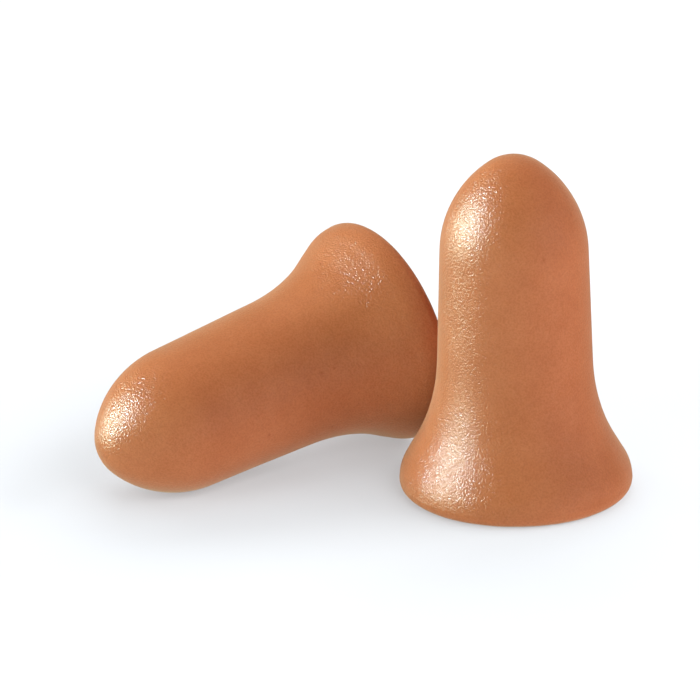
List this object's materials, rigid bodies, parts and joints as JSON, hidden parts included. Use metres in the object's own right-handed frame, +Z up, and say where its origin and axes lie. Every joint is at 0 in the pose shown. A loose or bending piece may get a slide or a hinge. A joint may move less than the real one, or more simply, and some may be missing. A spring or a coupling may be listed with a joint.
{
  "type": "foam ear plugs",
  "caption": "Pair of soft foam ear plugs, bell-shaped: a bullet nose and slim shank that go into the ear canal, and a flared rim to hold them by.",
  "frame": {"origin": "middle of the standing plug's flat base, on the surface that both plugs rest on", "axes": "+Z up along the standing plug's own axis, +X to the right and +Y away as the pair is seen from its front; the lying plug is to the left and behind, its nose pointing to the front left"},
  "size_m": [0.0401, 0.0272, 0.026],
  "materials": {
    "foam": "matte moulded skin on soft polyurethane foam, orange-coral, with a fine pebbled grain"
  },
  "bodies": {
    "standing_plug": {"standing_plug": "foam"},
    "lying_plug": {"lying_plug": "foam"}
  },
  "joints": [
    {"name": "lying_plug_lift", "type": "slide", "parent": "standing_plug", "child": "lying_plug", "axis": [0, 0, 1], "range_m": [0, 0.03]}
  ]
}
